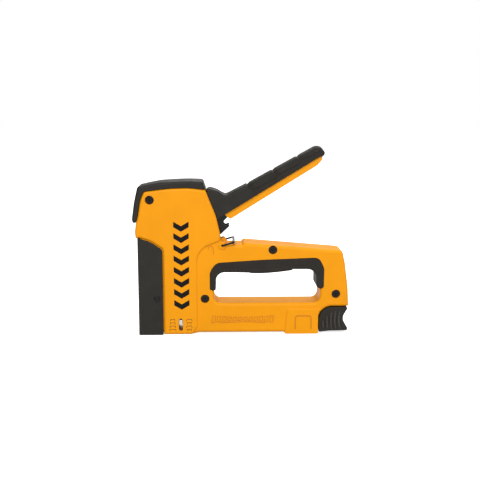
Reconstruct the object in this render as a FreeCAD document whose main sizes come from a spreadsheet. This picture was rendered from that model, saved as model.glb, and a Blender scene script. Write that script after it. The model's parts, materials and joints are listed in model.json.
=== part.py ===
import FreeCAD, Part
import math
import os
import re
from types import SimpleNamespace
from FreeCAD import Placement, Rotation, Vector

# Heavy-duty staple gun. Millimetres. +X runs from the nose to the rear of the handle, +Z up, +Y to the
# far side. The origin is on the surface the tool stands on, under the middle of its bounding box.

DIMENSIONS = {
    # widths of the body, each measured from the centre plane
    "half_base": 14.0, "half_head": 15.5, "half_cover": 15.9, "half_panel": 15.0,
    "half_insert": 14.5, "half_knob": 14.0, "half_cavity": 11.8,
    # walls and edges
    "wall": 2.4, "rim": 2.2, "edge_round": 3.0, "head_round": 2.6, "sill_round": 2.8, "cap_round": 2.4,
    # levels of the side view
    "nose_x": -93.5, "cover_front": -95.5, "cover_rear": -72.6, "cover_top": 80.4, "cover_skin": 1.5,
    "belly_z": 1.4, "sill_z": 29.6, "saddle_z": 84.6, "handle_front_z": 86.7, "handle_rear_z": 79.0,
    "handle_rear_x": 93.2, "rear_x": 100.1, "head_top_z": 137.3, "front_x": -100.1, "cap_top_z": 143.7,
    "knob_gap_z": 25.8, "base_rear_x": 71.9,
    # squeeze lever, drawn along its own length and then turned up by its rest angle
    "pivot_x": -28.6, "pivot_z": 101.2, "lever_angle": 31.3, "lever_travel": 37.0,
    "pin_radius": 4.0, "bush_radius": 5.5, "half_grip": 11.0, "half_channel": 9.0, "sheet_steel": 1.5,
    "cheek_inner": 5.0, "cheek_outer": 7.0, "grip_low": 2.6, "grip_end": 124.5, "channel_end": 120.3,
    "shroud_end": 48.7, "tongue_radius": 31.0, "lift_radius": 29.0, "lift_pin_radius": 3.0,
    "pin_boss_radius": 7.0, "shroud_round": 2.2,
    # driver and its spring
    "blade_x": -92.1, "blade_thick": 1.1, "blade_half": 5.3, "blade_low": 0.5, "blade_high": 90.0,
    "spring_x": -73.0, "spring_radius": 9.0, "spring_wire": 2.4, "spring_low": 80.0, "spring_high": 120.0,
    "carrier_low": 72.0, "carrier_top": 99.0, "lift_z": 92.0, "lift_x": -56.1,
    # wire bail
    "bail_x": -17.7, "bail_z": 84.2, "bail_radius": 11.04, "bail_angle": 16.3, "bail_wire": 0.9,
    "bail_half": 16.0, "bail_roller": 1.3, "bail_boss": 3.4,
    "lug_x": -16.8, "lug_z": 87.3, "lug_radius": 2.7,
    # magazine in the base
    "mag_front": -90.6, "mag_rear": 71.0, "mag_half": 6.6, "mag_top": 17.0, "mag_low": 1.8,
    "rail_half": 4.6, "rail_top": 12.0, "rail_low": 3.2, "rail_rear": 86.0, "rod_radius": 1.25,
    "rod_z": 7.2, "feed_radius": 2.6, "feed_wire": 0.5, "pusher_front": -89.4, "pusher_rear": -76.0,
    # selector beside the nose
    "slot_x": -56.4, "slot_z": 9.5, "slot_width": 3.7, "slot_height": 12.0, "selector_travel": 5.4,
    # screws that clamp the halves, and the pin of the nose
    "screw_recess": 4.1, "screw_head": 3.6, "screw_radius": 1.5, "screw_boss": 4.6,
    "nose_pin_x": -78.2, "nose_pin_z": 34.2, "nose_pin_radius": 2.9,
}

doc = FreeCAD.newDocument("staple_gun")
sheet = doc.addObject("Spreadsheet::Sheet", "dims")
for row, (alias, value) in enumerate(DIMENSIONS.items(), start=1):
    sheet.set(f"A{row}", alias)
    sheet.set(f"B{row}", str(value))
    sheet.setAlias(f"B{row}", alias)
doc.recompute()
d = SimpleNamespace(**{alias: float(sheet.get(alias)) for alias in DIMENSIONS})

NODES = []


def expression(text):
    """Point every dimension named in an expression at its cell."""
    return re.sub(r"[a-z][a-z_]+", lambda m: "dims." + m[0] if m[0] in DIMENSIONS else m[0], text)


def bind(item, **cells):
    for name, text in cells.items():
        item.setExpression(name, expression(text))
    return item


def place(item, x="0", y="0", z="0", turn=None):
    """Bind an object's position to the sheet, turned by a Rotation first."""
    if turn:
        item.Placement = Placement(Vector(), turn)
    for axis, text in (("x", x), ("y", y), ("z", z)):
        item.setExpression(f"Placement.Base.{axis}", expression(text))
    return item


def node(item, label):
    item.Label = label
    NODES.append(item)
    return item


# ---- outlines -------------------------------------------------------------------------------------
# An outline is a closed list of corners (a, b, radius) in a plane; the radius rounds that corner.

def outline_edges(corners):
    """Straight runs joined by tangent arcs."""
    arcs = []
    for i, (bx, by, radius) in enumerate(corners):
        corner = Vector(bx, by, 0)
        before = Vector(*corners[i - 1][:2], 0) - corner
        after = Vector(*corners[(i + 1) % len(corners)][:2], 0) - corner
        if radius <= 0:
            arcs.append((corner, None, corner))
            continue
        before.normalize()
        after.normalize()
        half = before.getAngle(after) / 2
        middle = before + after
        middle.normalize()
        reach = radius / math.tan(half)
        centre = corner + middle * (radius / math.sin(half))
        arcs.append((corner + before * reach, centre - middle * radius, corner + after * reach))
    edges = []
    for i, (start, through, end) in enumerate(arcs):
        if through:
            edges.append(Part.Arc(start, through, end))
        following = arcs[(i + 1) % len(arcs)][0]
        if (following - end).Length > 1e-4:
            edges.append(Part.LineSegment(end, following))
    return edges


def grown(corners, distance):
    """The same outline with every side moved outwards; corners run anticlockwise."""
    moved = []
    for i, (bx, by, radius) in enumerate(corners):
        here = Vector(bx, by, 0)
        into = here - Vector(*corners[i - 1][:2], 0)
        out = Vector(*corners[(i + 1) % len(corners)][:2], 0) - here
        into.normalize()
        out.normalize()
        normal = Vector(into.y + out.y, -into.x - out.x, 0)
        normal.normalize()
        scale = distance / (normal.x * into.y - normal.y * into.x)
        convex = into.x * out.y - into.y * out.x > 0
        corner = here + normal * scale
        moved.append((corner.x, corner.y, max(0.0, radius + (distance if convex else -distance))))
    return moved


def ring(x, y, radius):
    return Part.Circle(Vector(x, y, 0), Vector(0, 0, 1), radius)


def rectangle(x0, y0, x1, y1, radius=0.0):
    return [(x0, y0, radius), (x1, y0, radius), (x1, y1, radius), (x0, y1, radius)]


# ---- bodies ---------------------------------------------------------------------------------------

def new_body(name):
    return doc.addObject("PartDesign::Body", name)


def add_sketch(body, role, shapes, offset="0"):
    """A sketch on one of the body's own origin planes; shapes are outlines or circles."""
    sketch = body.newObject("Sketcher::SketchObject", body.Name + "_sketch")
    plane = next(f for f in body.Origin.OriginFeatures if f.Role == role)
    sketch.AttachmentSupport = [(plane, "")]
    sketch.MapMode = "FlatFace"
    sketch.setExpression("AttachmentOffset.Base.z", expression(offset))
    for shape in shapes:
        sketch.addGeometry(outline_edges(shape) if isinstance(shape, list) else [shape], False)
    return sketch


def extrude(body, kind, shapes, length, side, role="XZ_Plane", offset="0"):
    """Pad or Pocket. In the side view 'near' runs towards -Y, 'far' towards +Y, 'both' is symmetric."""
    sketch = add_sketch(body, role, shapes, offset)
    feature = body.newObject("PartDesign::" + kind, body.Name + "_" + kind.lower())
    feature.Profile = sketch
    feature.Type = 0
    bind(feature, Length=length)
    if side == "both":
        feature.SideType = "Symmetric"
    elif kind == "Pad":
        feature.Reversed = side == "far"
    else:
        feature.Reversed = side == "near"
    body.Tip = feature
    doc.recompute()
    return feature


def round_edges(body, feature, radius, chosen):
    """Fillet the edges of a feature that the test picks."""
    names = [f"Edge{i}" for i, edge in enumerate(feature.Shape.Edges, start=1) if chosen(edge)]
    fillet = body.newObject("PartDesign::Fillet", body.Name + "_fillet")
    fillet.Base = (feature, names)
    bind(fillet, Radius=radius)
    body.Tip = fillet
    doc.recompute()
    return fillet


def at_side(half):
    """Edges that lie on the outer side face at this distance from the centre plane."""
    def test(edge):
        return all(abs(abs(v.Y) - half) < 1e-3 for v in edge.Vertexes) and \
            abs(abs(edge.CenterOfMass.y) - half) < 1e-3
    return test


def slab(name, corners, length, side="both", holes=()):
    """A body padded from one side-view outline, with any holes in it."""
    body = new_body(name)
    extrude(body, "Pad", [corners, *holes], length, side)
    return body


def drum(name, radius, length, x, y, z, turn=None):
    """A cylinder along Z, or along the turned axis, from its base point."""
    item = bind(doc.addObject("Part::Cylinder", name), Radius=radius, Height=length)
    return place(item, x, y, z, turn)


def block(name, length, width, height, x, y, z):
    item = bind(doc.addObject("Part::Box", name), Length=length, Width=width, Height=height)
    return place(item, x, y, z)


def join(name, items):
    item = doc.addObject("Part::MultiFuse", name)
    item.Shapes = items
    item.Refine = True
    return item


def cut(name, base, tools):
    item = doc.addObject("Part::Cut", name)
    item.Base = base
    item.Tool = tools[0] if len(tools) == 1 else join(name + "_tools", tools)
    item.Refine = True
    return item


ALONG_Y = Rotation(Vector(1, 0, 0), -90)
ALONG_X = Rotation(Vector(0, 1, 0), 90)

# ---- side view of the body -------------------------------------------------------------------------
# Anticlockwise in the side view, from the lower front corner.

HEAD_TOP = [(-33.2, 135.4, 0.8), (-46.6, d.head_top_z, 80), (-66.2, 136.8, 120), (-88.6, 134.0, 3.5),
            (-92.1, 126.5, 30), (-94.8, 110.2, 1.5)]
HEAD_FRONT = [(-96.4, 105.2, 1.0), (-97.6, 97.0, 14), (-97.0, 91.0, 0.8)]
HEAD_REAR = [(-19.5, 94.0, 9), (-23.1, 110.4, 60)]
CORE = [
    (d.nose_x, 1.5, 0), (-72.2, 1.5, 0), (-72.2, 0, 0), (-45, 0, 3), (-40, d.belly_z, 3),
    (39.4, d.belly_z, 0.6), (41.2, 0, 0.6), (d.base_rear_x, 0, 0.6), (d.base_rear_x, d.knob_gap_z, 12.5),
    (d.rear_x, d.knob_gap_z, 1.2), (99.1, 44, 70), (96.1, 66.5, 45),
    (d.handle_rear_x, d.handle_rear_z, 4), (2.2, d.handle_front_z, 1.5), (0.4, d.saddle_z, 1.2),
    (-12.8, d.saddle_z, 2.5), (-19.3, 88.6, 1.5), *HEAD_REAR, *HEAD_TOP, *HEAD_FRONT,
    (d.nose_x, 91.0, 0),
]
# the raised head and nose column, behind the nose cover
COVER_EDGE = [(-72.3, 80.6, 4), (-84.0, 88.5, 30)]
RAISED = [
    (-72.3, 0, 0), (-46, 0, 2), (-40.5, 6, 10), (-40.5, 79.5, 16), (-19.3, 88.0, 3), *HEAD_REAR,
    *HEAD_TOP, *HEAD_FRONT, (-93.3, 91.2, 0), *reversed(COVER_EDGE),
]
# the hole that takes the fingers and, above them, the rubber insert
HOLE = [
    (-25.2, d.sill_z, 6), (72.6, d.sill_z, 6), (73.2, 42.2, 0), (76.4, 44.0, 2), (76.6, 62.4, 9),
    (71.6, 72.5, 7), (18, 70.5, 150), (-23.4, 67.8, 9), (-29.4, 59.6, 12), (-29.4, 42.6, 1.5),
    (-25.6, 41.0, 0),
]
INSERT = [
    (-23.7, 42.4, 1.2), (-26.2, 41.4, 1.2), (-29.3, 43.2, 1.5), (-29.3, 59.6, 12), (-23.3, 67.7, 9),
    (18, 70.4, 150), (71.5, 72.4, 7), (76.5, 62.4, 9), (76.3, 44.8, 2), (72.9, 43.0, 1.5),
    (69.6, 45.0, 1.5), (69.6, 61.5, 9), (46.6, 61.6, 12), (17.0, 58.1, 60), (-6, 58.8, 60),
    (-23.7, 58.8, 8),
]
PANEL = [(40.4, 0, 0.8), (71.6, 0, 0.8), (71.6, 20.6, 6.4), (75.4, 24.0, 0.8), (42.6, 24.0, 2)]
SCREWS = [(-83.6, 126.2), (-33.9, 33.8), (28.9, 79.7), (87.8, 37.9)]


def half_body(name, side):
    """One half of the body, split on the centre plane; side is -1 for the near half."""
    way = "near" if side < 0 else "far"

    def raised(tag, corners, half, radius):
        body = new_body(name + tag)
        feature = extrude(body, "Pad", [corners], half, way)
        round_edges(body, feature, radius, at_side(getattr(d, half)))
        return body

    def main_block():
        """The base outline with the finger hole through it; the hole's lower edge is rounded too."""
        body = new_body(name + "_core")
        feature = extrude(body, "Pad", [CORE, HOLE], "half_base", way)
        side_face = at_side(d.half_base)

        def in_hole(edge):
            centre = edge.CenterOfMass
            return -31 < centre.x < 78 and 28 < centre.z < 74

        feature = round_edges(body, feature, "edge_round", lambda e: side_face(e) and not in_hole(e))
        round_edges(body, feature, "sill_round",
                    lambda e: side_face(e) and in_hole(e) and e.CenterOfMass.z < 40.6)
        return body

    def along(tag, radius, start, length, x, z):
        """A round boss or bore across the body, from |y| = start outwards."""
        base = start if side > 0 else f"-({start}) - ({length})"
        return drum(name + tag, radius, length, x, base, z, ALONG_Y)

    def bored(tag, corners, half):
        return slab(name + tag, corners, half, way)

    solid = [
        main_block(),
        raised("_head", RAISED, "half_head", "head_round"),
        raised("_panel", PANEL, "half_panel", "0.8"),
    ]
    outside = join(name + "_outside", solid)
    cavity = new_body(name + "_cavity")
    extrude(cavity, "Pad", [grown(CORE, -d.wall), grown(HOLE, d.rim)], "half_cavity", way)
    hollow = [
        cavity,
        bored("_lever_slot", [(-36.5, 132.4, 0), (-36.5, 118, 0), (-30.0, 104, 0), (-24.0, 89.0, 0),
                              (-8.0, 89.0, 0), (-8.0, 140, 0), (-33.0, 140, 0), (-33.0, 132.4, 0)],
              "half_cavity"),
        bored("_nose_slot", rectangle(-95, -1, -90.8, 90.4), "12.1"),
        bored("_blade_slot", rectangle(-92.7, 90, -90.8, 112), "6"),
        bored("_magazine_slot", rectangle(-91.5, -1, 82, 18), "7.2"),
        along("_nose_pin_bore", "nose_pin_radius + 0.08", "10", "8", "nose_pin_x", "nose_pin_z"),
    ]
    if side < 0:
        slot = [(d.slot_x - d.slot_width / 2, d.slot_z - d.slot_height / 2, d.slot_width / 2 - 0.01),
                (d.slot_x + d.slot_width / 2, d.slot_z - d.slot_height / 2, d.slot_width / 2 - 0.01),
                (d.slot_x + d.slot_width / 2, d.slot_z + d.slot_height / 2, d.slot_width / 2 - 0.01),
                (d.slot_x - d.slot_width / 2, d.slot_z + d.slot_height / 2, d.slot_width / 2 - 0.01)]
        hollow.append(bored("_slot", slot, "half_cover + 2"))
    shell = cut(name + "_shell", outside, hollow)
    bosses = [
        along("_pivot_boss", "pin_boss_radius", "8.6", "half_base - 9", "pivot_x", "pivot_z"),
        along("_bail_boss", "bail_boss", "9", "5.9", "bail_x", "bail_z"),
        along("_latch_lug", "lug_radius", "0", "4.4", "lug_x", "lug_z"),
        block(name + "_bumper_rib", "22", "4", "3", "-85.5", "7.6" if side > 0 else "-11.6", "60.9"),
        block(name + "_seat_rib", "12", "half_cavity", "2.5", "-78.5", "0" if side > 0 else "-half_cavity",
              "spring_high + 1.5"),
    ]
    bores = [
        along("_pivot_bore", "pin_radius + 0.05", "8", "5.2", "pivot_x", "pivot_z"),
        along("_bail_bore", "bail_wire + 0.05", "10.6", "6", "bail_x", "bail_z"),
    ]
    for number, (x, z) in enumerate(SCREWS):
        tag = f"_screw{number}"
        bosses.append(along(tag + "_boss", "screw_boss", "0", "half_cavity + 0.1", str(x), str(z)))
        if side < 0:
            bores.append(along(tag + "_recess", "screw_recess", "10.2", "8", str(x), str(z)))
            bores.append(along(tag + "_bore", "screw_radius + 0.1", "-1", "14", str(x), str(z)))
        else:
            bores.append(along(tag + "_bore", "screw_radius", "-1", "12.5", str(x), str(z)))
    return node(cut(name, join(name + "_bossed", [shell, *bosses]), bores), name)


half_body("left_housing", -1)
half_body("right_housing", 1)

# ---- trim of the body ------------------------------------------------------------------------------

CAP = [
    (-96.6, 105.5, 0), (-95.0, 110.3, 1.5), (-92.3, 126.6, 30), (-88.7, 134.25, 3.5), (-66.2, 137.05, 120),
    (-46.6, d.head_top_z + 0.25, 80), (-32.8, 135.65, 0), (-35.5, 143.1, 2.9), (-50, d.cap_top_z, 150),
    (-74, 142.4, 60), (-85.5, 140.2, 14), (-94.5, 138.2, 3), (-97.9, 123.5, 60), (d.front_x, 108.4, 4),
    (-99.2, 105.4, 0),
]
cap = new_body("cap_body")
cap_pad = extrude(cap, "Pad", [CAP], "2 * half_head", "both")
round_edges(cap, cap_pad, "cap_round", lambda e: at_side(d.half_head)(e) and e.CenterOfMass.z > 140)
node(cap, "head_cap")

COVER = [(d.cover_front, 0, 0), (d.cover_rear, 0, 1.2), (d.cover_rear, d.cover_top, 4),
         (-84.2, 88.3, 30), (-93.2, 90.8, 1), (d.cover_front, 90.8, 0)]
cover = slab("cover_outside", COVER, "2 * half_cover")
round_edges(cover, cover.Tip, "2.6", lambda e: abs(e.CenterOfMass.x - d.cover_front) < 1e-3
            and abs(abs(e.CenterOfMass.y) - d.half_cover) < 1e-3)
cover_inside = slab("cover_inside", rectangle(-93.6, -2, -70, 96), "2 * (half_base + 0.05)")
cover_bore = drum("cover_bore", "nose_pin_radius + 0.05", "40", "nose_pin_x", "-20", "nose_pin_z", ALONG_Y)
node(cut("nose_cover_cut", cover, [cover_inside, cover_bore]), "nose_cover")
node(drum("nose_pin_rod", "nose_pin_radius", "2 * half_cover + 0.6", "nose_pin_x", "-half_cover - 0.3",
          "nose_pin_z", ALONG_Y), "nose_pin")

insert = new_body("insert_body")
insert_pad = extrude(insert, "Pad", [INSERT], "2 * half_insert", "both")
round_edges(insert, insert_pad, "1.1", at_side(d.half_insert))
node(insert, "grip_insert")


def screw(number, x, z):
    """Pan-head screw with a cross recess, driven from the near side."""
    tag = f"screw{number}"
    head = drum(tag + "_head", "screw_head", "2.3", x, "-12.5", z, ALONG_Y)
    shank = drum(tag + "_shank", "screw_radius - 0.05", "21.4", x, "-10.2", z, ALONG_Y)
    bars = [block(tag + "_bar_a", "4.2", "1.4", "0.8", f"{x} - 2.1", "-12.6", f"{z} - 0.4"),
            block(tag + "_bar_b", "0.8", "1.4", "4.2", f"{x} - 0.4", "-12.6", f"{z} - 2.1")]
    return cut(tag, join(tag + "_turned", [head, shank]), bars)


screws = doc.addObject("Part::Compound", "screw_set")
screws.Links = [screw(number, str(x), str(z)) for number, (x, z) in enumerate(SCREWS)]
node(screws, "housing_screws")

node(block("nose_plate", "1.2", "24", "90", "-93.5", "-12", "0.3"), "front_plate")
seat = drum("seat_disc", "spring_radius", "1.4", "spring_x", "0", "spring_high")
pilot = drum("seat_pilot", "spring_radius - spring_wire - 0.5", "6", "spring_x", "0", "spring_high - 6")
node(join("seat_turned", [seat, pilot]), "spring_seat")
node(block("bumper_pad", "19", "22.8", "7.9", "-82.8", "-11.4", "64"), "shock_bumper")
node(drum("lever_axle", "pin_radius", "26", "pivot_x", "-13", "pivot_z", ALONG_Y), "lever_pin")

coil = drum("return_coil", "bush_radius + 2.3", "7", "pivot_x", "-3.5", "pivot_z", ALONG_Y)
coil_hole = drum("return_coil_hole", "bush_radius + 0.8", "9", "pivot_x", "-4.5", "pivot_z", ALONG_Y)
node(cut("return_spring", coil, [coil_hole]), "lever_spring")

# inverted channel in the base that carries the staples, open underneath
shape = block("channel_outer", "mag_rear - mag_front", "2 * mag_half", "mag_top - mag_low",
              "mag_front", "-mag_half", "mag_low")
inner = block("channel_inner", "mag_rear - mag_front + 2", "2 * mag_half - 2", "mag_top - mag_low",
              "mag_front - 1", "1 - mag_half", "mag_low - 1")
node(cut("channel_bent", shape, [inner]), "magazine_channel")
node(block("catch_leaf", "16", "6", "0.6", "55", "-3", "mag_top + 0.05"), "knob_catch")
node(block("detent_leaf", "5", "0.9", "11", "-68", "-11.7", "4.6"), "selector_detent")

# ---- squeeze lever ---------------------------------------------------------------------------------
# Drawn flat: a runs along the lever from its pivot, b across it. Then turned up to its rest angle.

LEVER_TURN = Rotation(Vector(0, 1, 0), -d.lever_angle)


def swung(item, label):
    """Carry a lever piece drawn round the pivot to its place."""
    place(item, "pivot_x", "0", "pivot_z", LEVER_TURN)
    return node(item, label)


def polar(radius, degrees):
    return radius * math.cos(math.radians(degrees)), radius * math.sin(math.radians(degrees))


tongue = d.tongue_radius
SHROUD = [
    (8.8, d.grip_low, 0), (d.shroud_end - 0.2, d.grip_low, 0), (d.shroud_end - 0.2, 15.4, 0), (36, 16.4, 40),
    (26.6, 17.0, 6), (22.5, 24.8, 14), (18.1, 30.2, 5), (14.2, 30.8, 2.5), (*polar(tongue, 66), 0),
    (*polar(tongue / math.cos(math.radians(16)), 82), tongue - 0.01), (*polar(tongue, 98), 0),
    (*polar(tongue - 2, 98), 0), (*polar((tongue - 2) / math.cos(math.radians(15)), 83), tongue - 2.01),
    (*polar(tongue - 2, 68), 0), (8.8, 20, 0),
]
shroud = slab("shroud_outside", SHROUD, "2 * half_grip")
round_edges(shroud, shroud.Tip, "shroud_round", lambda e: at_side(d.half_grip)(e)
            and e.CenterOfMass.x > 16 and e.CenterOfMass.z > 12)
shroud_inside = slab("shroud_inside", [(0, -1, 0), (50, -1, 0), (50, 9.05, 0), (28.5, 9.05, 3),
                                       (20.2, 25, 4), (15.8, 28.0, 1), (11.2, 24, 0), (11.2, 9.8, 0),
                                       (0, 9.8, 0)],
                     "2 * half_channel + 0.1")
swung(cut("shroud_cut", shroud, [shroud_inside]), "lever_shroud")

GRIP = [
    (d.shroud_end, d.grip_low, 0), (118.4, d.grip_low, 1), (121.6, 1.6, 1), (d.grip_end, 3.2, 2),
    (d.grip_end, 10.4, 3), (119.8, 12.1, 3), (100.6, 12.8, 0), (100.3, 13.3, 0.4), (75.0, 14.2, 0),
    (74.7, 14.7, 0.4), (d.shroud_end, 15.5, 0.4),
]
grip = new_body("grip_outside")
grip_pad = extrude(grip, "Pad", [GRIP], "2 * half_grip", "both")
grip_inside = slab("grip_inside", rectangle(40, -8, 120.6, 9.05), "2 * half_channel + 0.1")
swung(cut("grip_cut", grip, [grip_inside]), "lever_grip")

CHANNEL = [(16.9, 2.1, 1), (19.2, -3.9, 1.2), (112.6, -2.9, 12), (d.channel_end, -0.4, 4),
           (d.channel_end, d.half_channel, 0), (16.9, d.half_channel, 0)]
channel = slab("channel_outside", CHANNEL, "2 * half_channel")
channel_inside = slab("channel_inside", rectangle(10, -9, 118.7, 7.5), "2 * (half_channel - sheet_steel)")
rivet_bores = [drum(f"channel_bore{i}", "1.55", "24", a, "-12", "4.9", ALONG_Y)
               for i, a in enumerate(("30", "50"))]
swung(cut("channel_cut", channel, [channel_inside, *rivet_bores]), "lever_channel")

turn = math.radians(d.lever_angle)
arm_x, arm_z = d.lift_x - d.pivot_x, d.lift_z - d.pivot_z
lift_a = arm_x * math.cos(turn) + arm_z * math.sin(turn)
lift_b = arm_z * math.cos(turn) - arm_x * math.sin(turn)
CHEEK = [
    (60, 7.3, 1), (12, 7.3, 6), (2, 9.5, 9), (lift_a + 4, 11.0, 5), (lift_a - 4.4, 10.4, 4),
    (lift_a - 4.0, 2.4, 4), (-11, -3.2, 20), (-5, -9.5, 6), (4.6, -11.6, 1.4), (14.9, -9.3, 1.0),
    (15.6, -7.7, 0.8), (12.2, -7.2, 0.8), (11.4, -4.9, 1.0), (13.0, -2.6, 0.8), (17.2, -1.3, 2), (60, -1.0, 1),
]
cheeks = slab("cheek_plates", CHEEK, "2 * cheek_outer", "both",
              [ring(0, 0, d.bush_radius + 0.01), ring(30, 4.9, 1.55), ring(50, 4.9, 1.55),
               ring(lift_a, lift_b, d.lift_pin_radius + 0.01)])
cheek_gap = slab("cheek_gap", [(-40, -20, 0), (52, -20, 0), (52, 20, 0), (-40, 20, 0)], "2 * cheek_inner")
swung(cut("cheek_cut", cheeks, [cheek_gap]), "lever_frame")

bush = drum("bush_outer", "bush_radius", "16", "0", "-8", "0", ALONG_Y)
bush_bore = drum("bush_bore", "pin_radius + 0.08", "18", "0", "-9", "0", ALONG_Y)
swung(cut("bush_cut", bush, [bush_bore]), "lever_bushing")
rivets = doc.addObject("Part::Compound", "rivet_pair")
rivets.Links = [drum(f"rivet{i}", "1.5", "2 * half_channel", a, "-half_channel", "4.9", ALONG_Y)
                for i, a in enumerate(("30", "50"))]
swung(rivets, "lever_rivets")
node(drum("lift_pin_rod", "lift_pin_radius", "2 * cheek_outer", "lift_x", "-cheek_outer", "lift_z", ALONG_Y),
     "lift_pin")

# ---- driver and power spring -----------------------------------------------------------------------

blade = block("blade_strip", "blade_thick", "2 * blade_half", "blade_high - blade_low", "blade_x",
              "-blade_half", "blade_low")
blade_holes = [drum(f"blade_bore{i}", "1.52", "6", "-94", "0", str(z), ALONG_X) for i, z in enumerate((66, 76))]
node(cut("blade_cut", blade, blade_holes), "driver_blade")
WINDOW = rectangle(-61.4, d.lift_z - 3.3, -52.4, d.lift_z + 3.3)
CARRIER = [(-90.9, 60, 0), (-86.4, 60, 1), (-85.0, d.carrier_low, 2), (-50.4, d.carrier_low, 2),
           (-50.4, d.carrier_top, 2.5), (-63.4, d.carrier_top, 1.5), (-63.4, d.spring_low, 0),
           (-83.6, d.spring_low, 1), (-86.0, 88, 1), (-90.9, 88, 0)]
web = slab("carrier_web", CARRIER, "8.6")
deck = slab("carrier_deck", rectangle(-83.4, d.carrier_low, -63.4, d.spring_low, 0), "19")
window = slab("carrier_window", WINDOW, "20")
rivet_holes = [drum(f"carrier_bore{i}", "1.55", "12", "-92", "0", str(z), ALONG_X)
               for i, z in enumerate((66, 76))]
node(cut("carrier_cut", join("carrier_joined", [web, deck]), [window, *rivet_holes]), "driver_carrier")
driver_rivets = doc.addObject("Part::Compound", "driver_rivet_pair")
driver_rivets.Links = [drum(f"driver_rivet{i}", "1.5", "6.2", "blade_x", "0", str(z), ALONG_X)
                       for i, z in enumerate((66, 76))]
node(driver_rivets, "driver_rivets")
power = drum("power_coil", "spring_radius", "spring_high - spring_low", "spring_x", "0", "spring_low")
power_hole = drum("power_coil_hole", "spring_radius - spring_wire", "spring_high - spring_low + 2",
                  "spring_x", "0", "spring_low - 1")
node(cut("power_tube", power, [power_hole]), "power_spring")

# ---- wire bail that locks the lever down ------------------------------------------------------------

reach = math.radians(d.bail_angle)
bar_x = d.bail_x + d.bail_radius * math.cos(reach)
bar_z = d.bail_z + d.bail_radius * math.sin(reach)
bend = 1.1
along_arm = Vector(math.cos(reach), 0, math.sin(reach))


def bail_wire():
    """A wire from one pivot end, out, along the arm, across, and back the same way."""
    foot, bar = Vector(d.bail_x, 0, d.bail_z), Vector(bar_x, 0, bar_z)
    path = []
    for side in (-1, 1):
        out = Vector(0, side * d.bail_half, 0)
        inward = Vector(0, -side, 0)
        tip = foot + Vector(0, side * 11.2, 0)
        corner, end = foot + out, bar + out
        slope = math.sin(math.pi / 4) * bend
        leg = [
            Part.LineSegment(tip, corner + inward * bend),
            Part.Arc(corner + inward * bend,
                     corner + (inward + along_arm) * bend - (inward + along_arm) * slope,
                     corner + along_arm * bend),
            Part.LineSegment(corner + along_arm * bend, end - along_arm * bend),
            Part.Arc(end - along_arm * bend,
                     end + (inward - along_arm) * bend - (inward - along_arm) * slope,
                     end + inward * bend),
        ]
        path += leg if side < 0 else []
        if side > 0:
            path.append(Part.LineSegment(bar + Vector(0, bend - d.bail_half, 0), end + inward * bend))
            path += reversed(leg)
    return Part.Wire(Part.__sortEdges__([piece.toShape() for piece in path]))


wire_path = doc.addObject("Part::Feature", "bail_path")
wire_path.Shape = bail_wire()
wire_round = bind(doc.addObject("Part::Circle", "bail_section"), Radius="bail_wire")
place(wire_round, "bail_x", "-11.2", "bail_z", ALONG_Y)
doc.recompute()
sweep = doc.addObject("Part::Sweep", "bail_sweep")
sweep.Sections = [wire_round]
sweep.Spine = (wire_path, [f"Edge{i}" for i in range(1, len(wire_path.Shape.Edges) + 1)])
sweep.Solid = True
sweep.Frenet = False
node(sweep, "latch_bail")
sleeve = drum("sleeve_outer", "bail_roller", "25", str(bar_x), "-12.5", str(bar_z), ALONG_Y)
sleeve_bore = drum("sleeve_bore", "bail_wire + 0.03", "27", str(bar_x), "-13.5", str(bar_z), ALONG_Y)
node(cut("sleeve_cut", sleeve, [sleeve_bore]), "latch_roller")

# ---- selector for the staple clinch ------------------------------------------------------------------

tab = block("selector_tab", "3", "5", "4.5", "slot_x - 1.5", "-16.2", "slot_z + 0.4")
back = block("selector_back", "7", "1", "6.4", "slot_x - 3.5", "-11.6", "slot_z")
node(join("selector_joined", [tab, back]), "clinch_selector")
node(block("selector_blade", "34", "0.9", "5.4", "-88", "-10.5", "slot_z + 0.4"), "clinch_blade")

# ---- magazine: knob, rail and rod draw out to the rear ----------------------------------------------

KNOB = [(72.2, 1.4, 1.5), (82, 2.5, 20), (98.9, 2.7, 1.0), (99.3, 5.4, 1), (93.4, 14.4, 9), (99.0, 23.4, 1.2),
        (98.6, 25.5, 1.2), (72.2, 25.5, 12.2)]
knob = new_body("knob_outside")
knob_pad = extrude(knob, "Pad", [KNOB], "2 * half_knob", "both")
round_edges(knob, knob_pad, "0.9", at_side(d.half_knob))
rail_slot = block("knob_rail_slot", "20", "2 * rail_half + 0.02", "rail_top - rail_low + 0.02", "67",
                  "-rail_half - 0.01", "rail_low - 0.01")
knob_bore = drum("knob_pin_bore", "1.26", "40", "80", "-20", "8", ALONG_Y)
node(cut("knob_cut", knob, [rail_slot, knob_bore]), "magazine_knob")
rail = block("rail_outer", "rail_rear - pusher_front - 1", "2 * rail_half", "rail_top - rail_low",
             "pusher_front + 0.6", "-rail_half", "rail_low")
rail_inner = block("rail_inner", "200", "2 * rail_half - 2", "rail_top - rail_low", "-100",
                   "1 - rail_half", "rail_low - 1")
rail_track = block("rail_track", "160", "2.4", "6", "-91", "-1.2", "rail_top - 3")
rail_bore = drum("rail_bore", "1.26", "40", "80", "-20", "8", ALONG_Y)
node(cut("rail_bent", rail, [rail_inner, rail_track, rail_bore]), "staple_rail")
node(drum("knob_pin_rod", "1.25", "24", "80", "-12", "8", ALONG_Y), "knob_pin")
rod = drum("rod_body", "rod_radius", "162", "-85", "0", "rod_z", ALONG_X)
node(rod, "guide_rod")
nut = drum("nut_body", "2.4", "2.4", "-87.6", "0", "rod_z", ALONG_X)
node(nut, "rod_nut")

# ---- staple pusher and its feed spring ---------------------------------------------------------------

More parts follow.
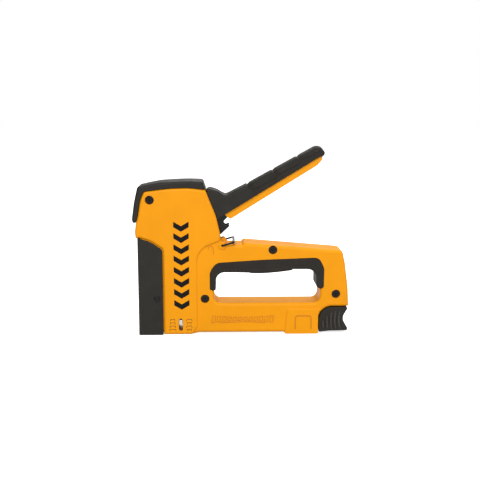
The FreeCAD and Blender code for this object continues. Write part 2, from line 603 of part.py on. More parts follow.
pusher = block("pusher_outer", "pusher_rear - pusher_front", "10.6", "10.2", "pusher_front + 0.1", "-5.3", "2.6")
pusher_gap = [
    block("pusher_gap_near", "40", "1.35", "12.4", "-95", "-rail_half - 0.15", "0"),
    block("pusher_gap_far", "40", "1.35", "12.4", "-95", "rail_half - 1.2", "0"),
    block("pusher_gap_top", "40", "4", "1.4", "-95", "-rail_half", "rail_top - 1.2"),
    block("pusher_gap_top_far", "40", "4", "1.4", "-95", "rail_half - 4", "rail_top - 1.2"),
    drum("pusher_bore", "rod_radius + 0.1", "40", "-95", "0", "rod_z", ALONG_X),
    drum("pusher_nut_bore", "2.6", "9.2", "-94", "0", "rod_z", ALONG_X),
]
node(cut("pusher_cut", pusher, pusher_gap), "staple_pusher")
feed = drum("feed_coil", "feed_radius", "146", "-75.6", "0", "rod_z", ALONG_X)
feed_hole = drum("feed_coil_hole", "feed_radius - feed_wire", "150", "-77", "0", "rod_z", ALONG_X)
node(cut("feed_tube", feed, [feed_hole]), "feed_spring")
stop = block("stop_plate", "1.2", "6.8", "7", "70.9", "-3.4", "3.8")
stop_bore = drum("stop_bore", "rod_radius + 0.02", "6", "69", "0", "rod_z", ALONG_X)
node(cut("stop_cut", stop, [stop_bore]), "rail_stop")

# ---- checks and export -----------------------------------------------------------------------------

doc.recompute()
failed = [item.Label for item in doc.Objects if {"Invalid", "Error"} & set(item.State)]
for item in NODES:
    shape = item.Shape
    if shape.isNull() or not shape.isValid() or not shape.Solids:
        failed.append(item.Label)
if failed:
    raise SystemExit(f"failed objects: {failed}")
os.makedirs("parts", exist_ok=True)
for item in NODES:
    box = item.Shape.BoundBox
    print(f"{item.Label:20s} {item.Shape.Volume:9.0f} x {box.XMin:7.1f} {box.XMax:7.1f} "
          f"y {box.YMin:6.1f} {box.YMax:6.1f} z {box.ZMin:6.1f} {box.ZMax:6.1f}")
    item.Shape.exportStep(os.path.join("parts", item.Label + ".step"))
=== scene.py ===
import json
import math
import bmesh
import bpy
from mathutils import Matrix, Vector


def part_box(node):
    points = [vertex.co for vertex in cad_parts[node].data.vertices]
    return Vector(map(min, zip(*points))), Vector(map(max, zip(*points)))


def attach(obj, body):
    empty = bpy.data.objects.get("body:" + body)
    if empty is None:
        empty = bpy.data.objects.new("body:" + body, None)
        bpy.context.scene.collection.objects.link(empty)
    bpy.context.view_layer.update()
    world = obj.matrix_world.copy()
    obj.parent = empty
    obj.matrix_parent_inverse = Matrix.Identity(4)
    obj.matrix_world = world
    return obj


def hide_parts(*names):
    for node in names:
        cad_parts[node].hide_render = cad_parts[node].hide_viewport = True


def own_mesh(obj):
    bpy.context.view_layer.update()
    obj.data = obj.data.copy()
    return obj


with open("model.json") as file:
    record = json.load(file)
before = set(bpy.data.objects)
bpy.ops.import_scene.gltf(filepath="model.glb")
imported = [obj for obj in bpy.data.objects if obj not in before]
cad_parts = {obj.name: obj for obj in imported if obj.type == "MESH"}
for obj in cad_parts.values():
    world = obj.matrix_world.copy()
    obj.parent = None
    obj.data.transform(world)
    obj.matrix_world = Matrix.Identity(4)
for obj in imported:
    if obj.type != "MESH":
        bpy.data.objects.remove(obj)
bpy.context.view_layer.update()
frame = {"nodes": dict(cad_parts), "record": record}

# Heavy-duty staple gun: materials, moulded detail, springs, camera and light on the fixed frame.
# Lengths are metres; MM turns the millimetres that the small detail is given in into metres.

MM = 0.001
JOINTS = {j["name"]: j for j in frame["record"]["behaviour"]["joints"]}
PIVOT = Vector(JOINTS["lever_pivot"]["pos_m"])
LEVER_ANGLE = math.radians(31.3)               # how far the open lever stands up from level
SIDE_Y = -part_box("left_housing")[0].y          # the raised side face, 15.5 mm from the middle
BASE_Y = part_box("magazine_knob")[1].y          # the base's side face, 14 mm from the middle


# ---- materials -------------------------------------------------------------------------------------

SOFT_EDGE = 0.0006             # rounding that shading gives to painted and moulded edges
STEEL_EDGE = 0.0002            # the same on steel
EDGE_HIGHLIGHT_RADIUS = 0.0007           # how far from an edge the painted highlight lightens the colour
EDGE_HIGHLIGHT_ANGLES = (0.86, 0.995)    # cosines between which the painted edge highlight fades in
BEVEL_SAMPLES = 6


class Nodes:
    """A short hand for building one material's node tree."""

    def __init__(self, name):
        self.material = bpy.data.materials.new(name)
        self.material.use_nodes = True
        self.tree = self.material.node_tree
        self.shader = self.tree.nodes["Principled BSDF"]
        self.place = self.add("ShaderNodeTexCoord").outputs["Object"]

    def add(self, kind, **settings):
        node = self.tree.nodes.new(kind)
        for key, value in settings.items():
            setattr(node, key, value)
        return node

    def link(self, source, target):
        self.tree.links.new(source, target)

    def noise(self, scale, detail=4.0, rough=0.55, stretch=None):
        node = self.add("ShaderNodeTexNoise")
        node.inputs["Scale"].default_value = scale
        node.inputs["Detail"].default_value = detail
        node.inputs["Roughness"].default_value = rough
        source = self.place
        if stretch:
            mapping = self.add("ShaderNodeMapping")
            mapping.inputs["Scale"].default_value = stretch
            self.link(source, mapping.inputs["Vector"])
            source = mapping.outputs["Vector"]
        self.link(source, node.inputs["Vector"])
        return node.outputs["Fac"]

    def cells(self, scale):
        node = self.add("ShaderNodeTexVoronoi", feature="DISTANCE_TO_EDGE")
        node.inputs["Scale"].default_value = scale
        self.link(self.place, node.inputs["Vector"])
        return node.outputs["Distance"]

    def span(self, source, low, high, start=0.3, end=0.7):
        node = self.add("ShaderNodeMapRange")
        for key, value in (("From Min", start), ("From Max", end), ("To Min", low), ("To Max", high)):
            node.inputs[key].default_value = value
        self.link(source, node.inputs["Value"])
        return node.outputs["Result"]

    def colours(self, source, *stops):
        node = self.add("ShaderNodeValToRGB")
        ramp = node.color_ramp
        while len(ramp.elements) < len(stops):
            ramp.elements.new(0.5)
        for element, (at, rgb) in zip(ramp.elements, stops):
            element.position = at
            element.color = (*rgb, 1)
        self.link(source, node.inputs["Fac"])
        return node.outputs["Color"]

    def bump(self, source, distance, strength=1.0, under=None):
        node = self.add("ShaderNodeBump")
        node.inputs["Distance"].default_value = distance
        node.inputs["Strength"].default_value = strength
        self.link(source, node.inputs["Height"])
        if under:
            self.link(under, node.inputs["Normal"])
        return node.outputs["Normal"]

    def soft_edges(self, radius):
        node = self.add("ShaderNodeBevel", samples=BEVEL_SAMPLES)
        node.inputs["Radius"].default_value = radius
        return node.outputs["Normal"]

    def edges(self, colour, rgb, amount):
        """Painted highlight: colour mixed towards another, lighter one along edges, broken up by noise."""
        turned = self.add("ShaderNodeVectorMath", operation="DOT_PRODUCT")
        self.link(self.soft_edges(EDGE_HIGHLIGHT_RADIUS), turned.inputs[0])
        self.link(self.add("ShaderNodeNewGeometry").outputs["Normal"], turned.inputs[1])
        mask = self.add("ShaderNodeMath", operation="MULTIPLY")
        self.link(self.span(turned.outputs["Value"], amount, 0.0, *EDGE_HIGHLIGHT_ANGLES), mask.inputs[0])
        self.link(self.span(self.noise(260, 4), 0.35, 1.0), mask.inputs[1])
        mix = self.add("ShaderNodeMix", data_type="RGBA")
        self.link(mask.outputs["Value"], mix.inputs["Factor"])
        self.link(colour, mix.inputs[6])
        mix.inputs[7].default_value = (*rgb, 1)
        return mix.outputs[2]

    def finish(self, colour, rough, normal, **plain):
        for source, key in ((colour, "Base Color"), (rough, "Roughness"), (normal, "Normal")):
            self.link(source, self.shader.inputs[key])
        for key, value in plain.items():
            self.shader.inputs[key.replace("_", " ")].default_value = value
        return self.material


def shade(rgb, factor):
    """A colour made darker or lighter."""
    return tuple(c * factor for c in rgb)


def paint(name, rgb):
    """Satin powder coat: faint mottling, orange peel and a fine grain."""
    n = Nodes(name)
    colour = n.colours(n.noise(38, 3), (0.3, shade(rgb, 0.95)), (0.52, rgb), (0.75, shade(rgb, 1.03)))
    # Painted highlight: the yellow lightened along edges, where light catches them.
    colour = n.edges(colour, tuple(min(1.0, c * 1.12 + 0.06) for c in rgb), 0.6)
    rough = n.span(n.noise(900, 3), 0.4, 0.54)
    peel = n.bump(n.noise(1500, 2), 0.00006, 0.4, n.soft_edges(SOFT_EDGE))
    normal = n.bump(n.noise(5200, 2), 0.00002, 0.4, peel)
    return n.finish(colour, rough, normal, Specular_IOR_Level=0.14)


def moulded(name, rgb, rough_low, rough_high, grain, depth, specular=0.16):
    """Moulded plastic or rubber with a spark-eroded leather grain."""
    n = Nodes(name)
    colour = n.colours(n.noise(70, 4), (0.28, shade(rgb, 0.82)), (0.5, rgb), (0.74, shade(rgb, 1.25)))
    # Painted highlight: the black lightened along edges, a sheen where light catches them.
    colour = n.edges(colour, tuple(c * 2 + 0.012 for c in rgb), 0.7)
    rough = n.span(n.noise(620, 4), rough_low, rough_high)
    pits = n.bump(n.cells(grain), depth, 0.6, n.soft_edges(SOFT_EDGE))
    normal = n.bump(n.noise(grain * 2.2, 3), depth * 0.6, 0.5, pits)
    return n.finish(colour, rough, normal, Specular_IOR_Level=specular)


def steel(name, rgb, low, high, stretch, metallic=1.0, specular=0.5):
    """Rolled or drawn steel: lines along one direction, faint stains across it."""
    n = Nodes(name)
    lines = n.noise(420, 3, 0.6, stretch)
    colour = n.colours(n.noise(90, 4), (0.3, shade(rgb, 0.84)), (0.55, rgb), (0.8, shade(rgb, 1.06)))
    normal = n.bump(lines, 0.00001, 0.5, n.soft_edges(STEEL_EDGE))
    rough = n.span(lines, low, high)
    return n.finish(colour, rough, normal, Metallic=metallic, Specular_IOR_Level=specular)


MATERIALS = {
    "yellow_paint": paint("yellow_powder_coat", (0.79, 0.295, 0.001)),
    "black_moulding": moulded("black_moulding", (0.0145, 0.0128, 0.0098), 0.4, 0.55, 1500, 0.00004),
    "black_rubber": moulded("black_rubber", (0.0155, 0.0135, 0.0104), 0.55, 0.75, 1150, 0.00006),
    "black_steel": steel("black_oxide_steel", (0.004, 0.0034, 0.0028), 0.2, 0.36, (1, 1, 4),
                         metallic=0.0, specular=0.16),
    "bright_steel": steel("bright_steel", (0.42, 0.42, 0.43), 0.22, 0.38, (1, 9, 9)),
    "plated_steel": steel("zinc_plated_steel", (0.40, 0.405, 0.41), 0.12, 0.26, (2, 2, 2)),
    "spring_steel": steel("spring_steel", (0.30, 0.30, 0.31), 0.25, 0.4, (2, 2, 6)),
}
PRINT = moulded("black_print", (0.004, 0.004, 0.004), 0.4, 0.55, 2600, 0.00001, 0.08)
# The knob's ribs in a lighter copy of the black moulding: a painted highlight on their crests.
LIT_RIBS = moulded("rib_moulding_painted_highlight", (0.021, 0.0188, 0.015), 0.35, 0.5, 1500, 0.00004, 0.3)
MARKS = moulded("brown_print", (0.09, 0.04, 0.01), 0.4, 0.55, 2600, 0.00001)
# The raised marks in a darker copy of the yellow paint: painted shade along them.
EMBOSS = paint("shadowed_paint", (0.60, 0.20, 0.003))

for part in frame["record"]["subparts"]:
    item = frame["nodes"][part["node"]]
    item.data.materials.clear()
    item.data.materials.append(MATERIALS[part["material_slot"]])


# ---- mesh helpers ----------------------------------------------------------------------------------

SHARP_ANGLE = math.radians(38)


def face_outwards(mesh):
    """Turn every face of a mesh to the outside."""
    shell = bmesh.new()
    shell.from_mesh(mesh)
    bmesh.ops.recalc_face_normals(shell, faces=shell.faces)
    shell.to_mesh(mesh)
    shell.free()


def new_piece(name, vertices, faces, body, slot, material=None):
    """A mesh in the row frame that rides on a body; vertices are in millimetres."""
    mesh = bpy.data.meshes.new(name)
    mesh.from_pydata([Vector(v) * MM for v in vertices], [], faces)
    mesh.validate()
    face_outwards(mesh)
    item = bpy.data.objects.new(name, mesh)
    bpy.context.scene.collection.objects.link(item)
    mesh.materials.append(material or MATERIALS[slot])
    mesh.shade_smooth()
    mesh.set_sharp_from_angle(angle=SHARP_ANGLE)
    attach(item, body)
    return item


def ring_faces(rows, columns):
    """Faces over closed rings of points stored ring by ring, with a cap on the first and the last."""
    faces = []
    for low in range(0, (rows - 1) * columns, columns):
        high = low + columns
        for c in range(columns):
            d = (c + 1) % columns
            faces.append((low + c, low + d, high + d, high + c))
    faces.append(tuple(reversed(range(columns))))
    faces.append(tuple(range((rows - 1) * columns, rows * columns)))
    return faces


def tube_mesh(path, radii, sides, up):
    """Vertices and faces of a round bar along a path, with a radius for each point."""
    count = len(path)
    vertices = []
    for i, point in enumerate(path):
        ahead = (path[min(i + 1, count - 1)] - path[max(i - 1, 0)]).normalized()
        side = ahead.cross(up).normalized()
        normal = side.cross(ahead)
        for k in range(sides):
            a = 2 * math.pi * k / sides
            vertices.append(point + (side * math.cos(a) + normal * math.sin(a)) * radii[i])
    return vertices, ring_faces(count, sides)


PLAQUE_ROOT = 0.3      # how far a raised shape reaches into the face it stands on


def plaque(name, outlines, y_side, height, body, slot, material):
    """Raised shapes on a side face: outlines in (x, z), standing off the face by a height."""
    vertices, faces = [], []
    sign = 1 if y_side > 0 else -1
    for outline in outlines:
        count, first = len(outline), len(vertices)
        for y in (y_side - sign * PLAQUE_ROOT, y_side + sign * height):
            vertices += [(p.x, y, p.y) for p in outline]
        faces += [tuple(first + k for k in face) for face in ring_faces(2, count)]
    return new_piece(name, vertices, faces, body, slot, material)


def merged(parts):
    """Several (vertices, faces) as one."""
    vertices, faces = [], []
    for more, their_faces in parts:
        first = len(vertices)
        vertices += more
        faces += [tuple(first + i for i in face) for face in their_faces]
    return vertices, faces


MITRE_LIMIT = 0.5


def stroke(points, width):
    """A closed outline of a stroke of some width along a flat path, with mitred corners."""
    left, right = [], []
    for i, p in enumerate(points):
        before = (p - points[i - 1]).normalized() if i else (points[1] - p).normalized()
        after = (points[i + 1] - p).normalized() if i + 1 < len(points) else before
        side = Vector((-before.y - after.y, before.x + after.x)).normalized()
        reach = width / 2 / max(MITRE_LIMIT, side.dot(Vector((-before.y, before.x))))
        left.append(p + side * reach)
        right.append(p - side * reach)
    return left + right[::-1]


def arc(cx, cz, radius, start, end, steps):
    """Points of a flat arc between two angles in degrees."""
    angles = [math.radians(start + (end - start) * i / steps) for i in range(steps + 1)]
    return [Vector((cx + radius * math.cos(a), cz + radius * math.sin(a))) for a in angles]


def smoothstep(low, high, value):
    """0 below low, 1 above high and a soft slope between them."""
    t = min(1.0, max(0.0, (value - low) / (high - low)))
    return t * t * (3 - 2 * t)


def to_row(u, v, y):
    """A point of the lever, given along and across its length, in the row frame (millimetres)."""
    c, s = math.cos(LEVER_ANGLE), math.sin(LEVER_ANGLE)
    return Vector((PIVOT.x / MM + u * c - v * s, y, PIVOT.z / MM + u * s + v * c))


def helix(turns, radius, wire, axis, start, length, closed, steps):
    """Centre line of a wound spring: closed turns at its ends and evenly open turns between them."""
    axis = Vector(axis)
    a = axis.orthogonal().normalized()
    b = axis.cross(a)
    rise = (length - wire * (1 + 2 * closed)) / (turns - 2 * closed)
    path = []
    for i in range(int(turns * steps) + 1):
        t = i / steps
        open_turns = min(max(t - closed, 0.0), turns - 2 * closed)
        height = wire * (0.5 + min(t, closed) + max(0.0, t - turns + closed)) + rise * open_turns
        angle = 2 * math.pi * t
        path.append(Vector(start) + axis * height + (a * math.cos(angle) + b * math.sin(angle)) * radius)
    return path


# ---- springs ---------------------------------------------------------------------------------------
# Wound wire in place of the plain tubes of the CAD model.

def spring(name, node, axis, wire, turns, body, closed=1.0, steps=26, sides=12):
    """A wound spring that fills the box of a CAD node; returns it with that box."""
    low, high = (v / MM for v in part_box(node))
    axis = Vector(axis)
    middle = (low + high) / 2
    length = (high - low).dot(axis)
    across = (high - low).z if axis.x else (high - low).x
    start = middle - axis * length / 2
    path = helix(turns, (across - wire) / 2, wire, axis, start, length, closed, steps)
    radii = [wire / 2] * len(path)
    piece = new_piece(name, *tube_mesh(path, radii, sides, axis), body, "spring_steel")
    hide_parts(node)
    return piece, low * MM, high * MM


power_coil, low, high = spring("power_coil", "power_spring", (0, 0, 1), 2.4, 7, "housing")
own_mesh(power_coil)
feed_coil, low, high = spring("feed_coil", "feed_spring", (1, 0, 0), 0.5, 64, "magazine", steps=12, sides=6)
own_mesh(feed_coil)
spring("return_coil", "lever_spring", (0, 1, 0), 1.5, 4.25, "housing", closed=0.5)

# ---- rubber sleeve of the lever ---------------------------------------------------------------------
# Three overlapping pads, each rising from the last one's step; the lower half of the side is plain.

PADS = ((48.55, 75.0), (75.0, 100.6), (100.6, 126.0))      # start and end of each pad along the lever
PAD_RISE = 0.95            # how far a pad stands off the sleeve below it
SLEEVE_LOW = 2.6           # lower edge
SLEEVE_SIDE = 11.0         # half width
SLEEVE_TOP = 14.3          # height at the front, falling by SLEEVE_FALL per millimetre from FALL_START
SLEEVE_FALL, FALL_START = 0.0445, 48.7
SLEEVE_END = 124.4
END_START = 118.6          # where the end begins to round off
END_TOP, END_LOW, END_SIDE = 4.9, 2.6, 4.2     # how far the top, the lower edge and the sides close in
TIP_DROP = 1.35            # the lower edge drops to meet the painted channel's end
CORNER = 3.4               # radius along the top edges
LIP = 0.5                  # radius along the lower edges
CROWN = 0.35               # bulge of the top
BORDER, BORDER_FALL = 8.6, 1.6     # lower border of a pad's raised part and its fall towards the back
BORDER_REACH = 5.5         # over this length the border climbs to the top at a pad's front
BORDER_SOFT = 0.45
LIP_STEPS, SIDE_STEPS, CORNER_STEPS, TOP_STEPS = 4, 22, 8, 4


def sleeve_section(u):
    """Points across the sleeve at a place along it: up the near side, over the top, down the far side."""
    start, end = next(p for p in PADS if u <= p[1])
    rise = PAD_RISE * smoothstep(start - 0.3, start + 4.2, u) * (1 - smoothstep(end - 0.4, end, u))
    tip = min(1.0, max(0.0, (u - END_START) / (SLEEVE_END + 0.05 - END_START)))
    closing = 1 - math.sqrt(max(0.0, 1 - tip * tip))
    top = SLEEVE_TOP - (u - FALL_START) * SLEEVE_FALL - END_TOP * closing
    bottom = SLEEVE_LOW - TIP_DROP * smoothstep(117.8, 121.4, u) + END_LOW * closing
    side = SLEEVE_SIDE - END_SIDE * closing
    near_start = max(0.0, 1 - (u - start) / BORDER_REACH)
    border = BORDER - BORDER_FALL * (u - start) / (end - start) + (top - 10.0) * near_start ** 2

    def raised(v):
        return smoothstep(border - BORDER_SOFT, border + BORDER_SOFT, v)

    half = []              # (y, v, the way out as y and v, share of the pad's rise)
    for k in range(LIP_STEPS + 1):
        a = math.pi / 2 * k / LIP_STEPS
        half.append((side - LIP + LIP * math.sin(a), bottom + LIP - LIP * math.cos(a), 1.0, 0.0, 0.0))
    for k in range(1, SIDE_STEPS + 1):
        v = bottom + LIP + (top - CORNER - bottom - LIP) * k / SIDE_STEPS
        half.append((side, v, 1.0, 0.0, raised(v)))
    for k in range(1, CORNER_STEPS + 1):
        a = math.pi / 2 * k / CORNER_STEPS
        half.append((side - CORNER + CORNER * math.cos(a), top - CORNER + CORNER * math.sin(a),
                     math.cos(a), math.sin(a), raised(top - CORNER * 0.3)))
    for k in range(1, TOP_STEPS + 1):
        crown = CROWN * math.sin(math.pi / 2 * k / TOP_STEPS)
        half.append(((side - CORNER) * (1 - k / TOP_STEPS), top + crown, 0.0, 1.0, 1.0))
    shaped = [(y + out * rise * share, v + up * rise * share) for y, v, out, up, share in half]
    return [to_row(u, v, -y) for y, v in shaped] + [to_row(u, v, y) for y, v in shaped[-2::-1]]


PAD_EDGES = (-0.35, -0.2, -0.1, 0)     # extra sections where one pad ends and the next begins
END_SECTIONS = 12
stations = [PADS[0][0] + 0.5 * i for i in range(141)]
stations += [start + shift for start, _ in PADS[1:] for shift in PAD_EDGES]
stations += [END_START + (SLEEVE_END - END_START) * math.sin(math.pi / 2 * i / END_SECTIONS)
             for i in range(END_SECTIONS + 1)]
stations = sorted(set(round(u, 3) for u in stations))
rows = [sleeve_section(u) for u in stations]
sleeve = new_piece("sleeve_solid", [p for row in rows for p in row],
                   ring_faces(len(rows), len(rows[0])), "lever", "black_rubber")

# The painted channel takes up the sleeve's inside: this box, along, across and to both sides.
HOLLOW_U, HOLLOW_V, HOLLOW_Y = (40, 120.6), (-8, 9.1), (-9.1, 9.1)
corners = [to_row(u, v, y) for u in HOLLOW_U for v in HOLLOW_V for y in HOLLOW_Y]
hollow = bpy.data.meshes.new("sleeve_hollow")
hollow.from_pydata([p * MM for p in corners], [],
                   [(0, 1, 3, 2), (4, 6, 7, 5), (0, 4, 5, 1), (2, 3, 7, 6), (0, 2, 6, 4), (1, 5, 7, 3)])
face_outwards(hollow)
cutter = bpy.data.objects.new("sleeve_hollow", hollow)
bpy.context.scene.collection.objects.link(cutter)
carve = sleeve.modifiers.new("hollow", "BOOLEAN")
carve.operation, carve.object, carve.solver = "DIFFERENCE", cutter, "EXACT"
bpy.context.view_layer.update()
carved = bpy.data.meshes.new_from_object(sleeve.evaluated_get(bpy.context.evaluated_depsgraph_get()))
sleeve.modifiers.clear()
sleeve.data = carved
sleeve.name = carved.name = "lever_sleeve"
bpy.data.objects.remove(cutter)
carved.shade_smooth()
carved.set_sharp_from_angle(angle=math.radians(50))
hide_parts("lever_grip")

# ---- pad on the underside of the finger insert --------------------------------------------------------

INSERT_EDGE = ((7.4, 58.5), (12, 58.2), (17, 58.15), (24, 58.45), (32, 59.1), (40, 60.0), (47.2, 61.0))
PAD_THICK = 0.5
PAD_SECTIONS = 80
PAD_CORNER, PAD_CORNER_STEPS = 1.7, 6
PAD_SIDE = 3.6             # how far the pad reaches up the side of the insert


def insert_edge(x):
    """Height of the insert's lower edge."""
    for (x0, z0), (x1, z1) in zip(INSERT_EDGE, INSERT_EDGE[1:]):
        if x <= x1:
            return z0 + (z1 - z0) * (x - x0) / (x1 - x0)
    return INSERT_EDGE[-1][1]


rows = []
half_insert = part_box("grip_insert")[1].y / MM
pad_start, pad_end = INSERT_EDGE[0][0], INSERT_EDGE[-1][0]
for i in range(PAD_SECTIONS + 1):
    x = pad_start + (pad_end - pad_start) * i / PAD_SECTIONS
    thick = PAD_THICK * smoothstep(0, 0.9, x - pad_start + 0.2) * smoothstep(0, 0.9, pad_end + 0.2 - x)
    edge = insert_edge(x) - thick
    section = [(-half_insert - 0.25 * thick, edge + PAD_SIDE + thick)]
    for k in range(PAD_CORNER_STEPS + 1):
        a = math.pi / 2 * k / PAD_CORNER_STEPS
        section.append((-half_insert - 0.5 * thick + PAD_CORNER * (1 - math.cos(a)),
                        edge + PAD_CORNER * (1 - math.sin(a))))
    section += [(-half_insert * 0.5, edge), (0, edge)]
    whole = section + [(-y, z) for y, z in section[-2::-1]]
    whole += [(half_insert - 1.5, edge + 3.5), (1.5 - half_insert, edge + 3.5)]
    rows.append([Vector((x, y, z)) for y, z in whole])
new_piece("insert_pad", [p for row in rows for p in row], ring_faces(len(rows), len(rows[0])),
          "housing", "black_rubber")

# ---- ribs on the sides of the magazine knob -----------------------------------------------------------

RIBS = ((76.2, 5.2, 13.0), (79.8, 4.6, 17.4), (83.4, 4.4, 20.6), (87.0, 4.4, 21.6), (90.6, 4.4, 21.6))
RIB_STEPS = 16
RIB_MIDDLE = 13.6          # height at which the bowed ribs reach furthest forward
RIB_THIN, RIB_SWELL = 0.4, 0.95
ribs = []
for side in (-1, 1):
    for x, z_low, z_high in RIBS:
        bow = 0.021 * (0.25 + (x - 76.4) / 19)     # the ribs further back follow the scooped rear end
        path, radii = [], []
        for i in range(RIB_STEPS + 1):
            z = z_low + (z_high - z_low) * i / RIB_STEPS
            path.append(Vector((x + bow * (z - RIB_MIDDLE) ** 2, side * (BASE_Y / MM - 0.1), z)))
            radii.append(RIB_THIN + RIB_SWELL * max(0.0, math.sin(math.pi * i / RIB_STEPS)) ** 0.5)
        ribs.append(tube_mesh(path, radii, 12, Vector((0, 1, 0))))
# The ribs take the lighter moulding, a painted highlight.
new_piece("knob_ribs", *merged(ribs), "magazine", "black_moulding", LIT_RIBS)

# ---- domed ends of the nose pin --------------------------------------------------------------------

low, high = (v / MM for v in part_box("nose_pin"))
centre, pin_radius = (low + high) / 2, (high.x - low.x) / 2
DOME = ((0.99, -0.15), (0.99, 0.05), (0.93, 0.22), (0.8, 0.36), (0.58, 0.47), (0.45, 0.5), (0.38, 0.42),
        (0.3, 0.2), (0.02, 0.16))      # share of the pin's radius, and height over its end
DOME_SIDES = 40
domes = []
for way in (-1, 1):
    points = [Vector((centre.x + pin_radius * r * math.cos(a), way * (high.y + h),
                      centre.z + pin_radius * r * math.sin(a) * -way))
              for r, h in DOME for a in (2 * math.pi * k / DOME_SIDES for k in range(DOME_SIDES))]
    domes.append((points, ring_faces(len(DOME), DOME_SIDES)))
new_piece("pin_heads", *merged(domes), "housing", "black_steel")

# ---- marks on the sides -------------------------------------------------------------------------------
# A column of plain chevrons, a row of raised ribs, a staple outline and small staple pictures.

side, base, panel = SIDE_Y / MM, BASE_Y / MM, 15.0
PRINT_HEIGHT, CAPTION_HEIGHT, RAISED_HEIGHT = 0.12, 0.06, 0.3

CHEVRON = ((-7, 9.2), (-7, 4.2), (0, 0), (7, 4.2), (7, 9.2), (0, 5.0))
CHEVRON_X, CHEVRON_Z, CHEVRON_PITCH, CHEVRON_COUNT = -55.3, 24.2, 10.45, 8
chevrons = [[Vector((CHEVRON_X + x, CHEVRON_Z + CHEVRON_PITCH * row + z)) for x, z in CHEVRON]
            for row in range(CHEVRON_COUNT)]


def bowed(x):
    """Share of the row's bow at a place along it: none in its middle, most at its ends."""
    return ((x - 1) / 28) ** 2


RIB_START, RIB_PITCH, RIB_COUNT, RIB_LINE = -26.4, 4.9, 12, 0.55
ribs_row = []
for i in range(RIB_COUNT):
    x = RIB_START + RIB_PITCH * i
    low, high = 13.4 - 2.2 * bowed(x), 16.4 + 1.3 * bowed(x)
    rib = [Vector((x - 1.4, low)), Vector((x + 1.5, low)), Vector((x + 2.4, high)), Vector((x - 0.5, high))]
    middle = (rib[0] + rib[1]) / 2
    ribs_row.append(stroke([middle, *rib[1:], rib[0], middle], RIB_LINE))
ribs_row.append(stroke([Vector((x, 12.0 - 2.2 * bowed(x))) for x in range(-20, 23, 2)], 0.6))

STAPLE = ((50.2, 5.0), (50.2, 16.2), (51.6, 17.6), (63.6, 17.6), (65.0, 16.2), (65.0, 5.0))
staple = stroke([Vector(p) for p in STAPLE], 1.1)
hook = stroke(arc(-28.2, 81.6, 2.1, 205, -20, 14) + [Vector((-25.8, 78.2)), Vector((-25.9, 75.8))], 0.5)
for way, tag in ((-1, "near"), (1, "far")):
    plaque(f"chevrons_{tag}", chevrons, way * side, PRINT_HEIGHT, "housing", "black_moulding", PRINT)
    plaque(f"raised_ribs_{tag}", ribs_row, way * base, RAISED_HEIGHT, "housing", "yellow_paint", EMBOSS)
    plaque(f"raised_staple_{tag}", [staple], way * panel, RAISED_HEIGHT, "housing", "yellow_paint", EMBOSS)
    plaque(f"raised_hook_{tag}", [hook], way * base, RAISED_HEIGHT, "housing", "yellow_paint", EMBOSS)

# Beside the selector's slot: upright staples of four widths in front, bent legs behind.
CAPTION_Z, CAPTION_PITCH, CAPTION_LEG, CAPTION_LINE = 4.4, 3.2, 0.9, 0.42
FRONT_X, BACK_X = -64, -48.6


def caption(x, foot, top, z):
    """A staple's outline: its feet and its top are this far to each side of x."""
    corners = ((-foot, -CAPTION_LEG), (-top, CAPTION_LEG), (top, CAPTION_LEG), (foot, -CAPTION_LEG))
    return stroke([Vector((x + across, z + up)) for across, up in corners], CAPTION_LINE)


pictures = []
for row in range(4):
    z = CAPTION_Z + CAPTION_PITCH * row
    width = 2.9 - 0.35 * row
    flare = 0.8 if row % 2 else -0.8
    pictures += [caption(FRONT_X, width, width, z), caption(BACK_X, 2 + flare, 2, z)]
plaque("staple_pictures", pictures, -side, CAPTION_HEIGHT, "housing", "black_moulding", MARKS)

# ---- floor, camera and light ---------------------------------------------------------------------------

FLOOR_RADIUS, FLOOR_SIDES = 8, 64
floor_mesh = bpy.data.meshes.new("floor")
floor_angles = [2 * math.pi * i / FLOOR_SIDES for i in range(FLOOR_SIDES)]
rim = [(FLOOR_RADIUS * math.cos(a), FLOOR_RADIUS * math.sin(a), 0) for a in floor_angles]
floor_mesh.from_pydata(rim, [], [tuple(range(FLOOR_SIDES))])
floor = bpy.data.objects.new("floor", floor_mesh)
bpy.context.scene.collection.objects.link(floor)
n = Nodes("pale_floor")
floor_mesh.materials.append(n.finish(
    n.colours(n.noise(3, 3), (0.3, (0.90, 0.90, 0.90)), (0.7, (0.93, 0.93, 0.93))),
    n.span(n.noise(40, 3), 0.6, 0.7), n.bump(n.noise(300, 2), 0.0001, 0.1),
    Emission_Color=(1, 1, 1, 1), Emission_Strength=0.7, Specular_IOR_Level=0.1))
floor.visible_diffuse = False      # a white floor would wash out the painted sides from below

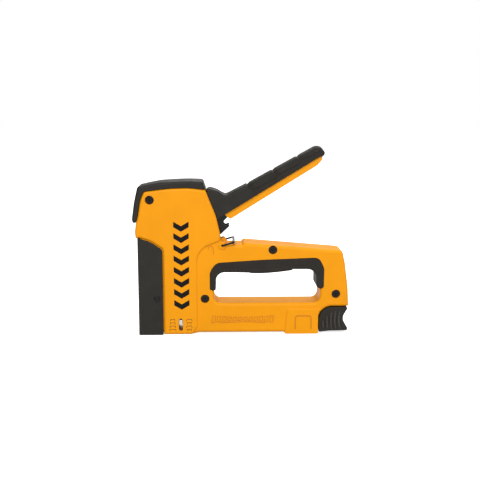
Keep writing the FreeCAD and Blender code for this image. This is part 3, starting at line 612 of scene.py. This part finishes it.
TARGET = Vector((-1.1, 0, 86.85)) * MM
ELEVATION, AZIMUTH = math.radians(9.6), math.radians(-1.3)
DISTANCE = 0.72
back = Vector((math.sin(AZIMUTH) * math.cos(ELEVATION), -math.cos(AZIMUTH) * math.cos(ELEVATION),
               math.sin(ELEVATION)))
camera_data = bpy.data.cameras.new("camera")
camera_data.sensor_width, camera_data.lens = 36, 57.75
camera = bpy.data.objects.new("camera", camera_data)
camera.location = TARGET + back * DISTANCE
camera.rotation_euler = back.to_track_quat("Z", "Y").to_euler()
bpy.context.scene.collection.objects.link(camera)
bpy.context.scene.camera = camera


def soft_light(name, place, size, watts):
    """A square area light that faces the staple gun and isn't seen itself."""
    data = bpy.data.lights.new(name, "AREA")
    data.shape, data.size, data.energy = "SQUARE", size, watts
    lamp = bpy.data.objects.new(name, data)
    lamp.location = place
    lamp.rotation_euler = (Vector(place) - TARGET).to_track_quat("Z", "Y").to_euler()
    lamp.visible_camera = False
    bpy.context.scene.collection.objects.link(lamp)


soft_light("key", (-0.2, -1.05, 0.8), 1.1, 15.5)
soft_light("fill", (0.9, -0.8, 0.35), 1.0, 4.6)
soft_light("top", (0.1, 0.2, 1.3), 1.2, 6)
soft_light("behind", (0.2, 1.0, 1.15), 0.9, 10)

# A dim sky lights the scene, and the camera sees plain white in its place.
world = bpy.data.worlds.new("studio")
world.use_nodes = True
tree = world.node_tree
sky = tree.nodes["Background"]
sky.inputs["Color"].default_value = (1, 1, 1, 1)
sky.inputs["Strength"].default_value = 0.4
white = tree.nodes.new("ShaderNodeBackground")
white.inputs["Color"].default_value = (1, 1, 1, 1)
mix = tree.nodes.new("ShaderNodeMixShader")
tree.links.new(tree.nodes.new("ShaderNodeLightPath").outputs["Is Camera Ray"], mix.inputs["Fac"])
tree.links.new(sky.outputs["Background"], mix.inputs[1])
tree.links.new(white.outputs["Background"], mix.inputs[2])
tree.links.new(mix.outputs["Shader"], tree.nodes["World Output"].inputs["Surface"])
bpy.context.scene.world = world
bpy.context.scene.view_settings.view_transform = "Standard"
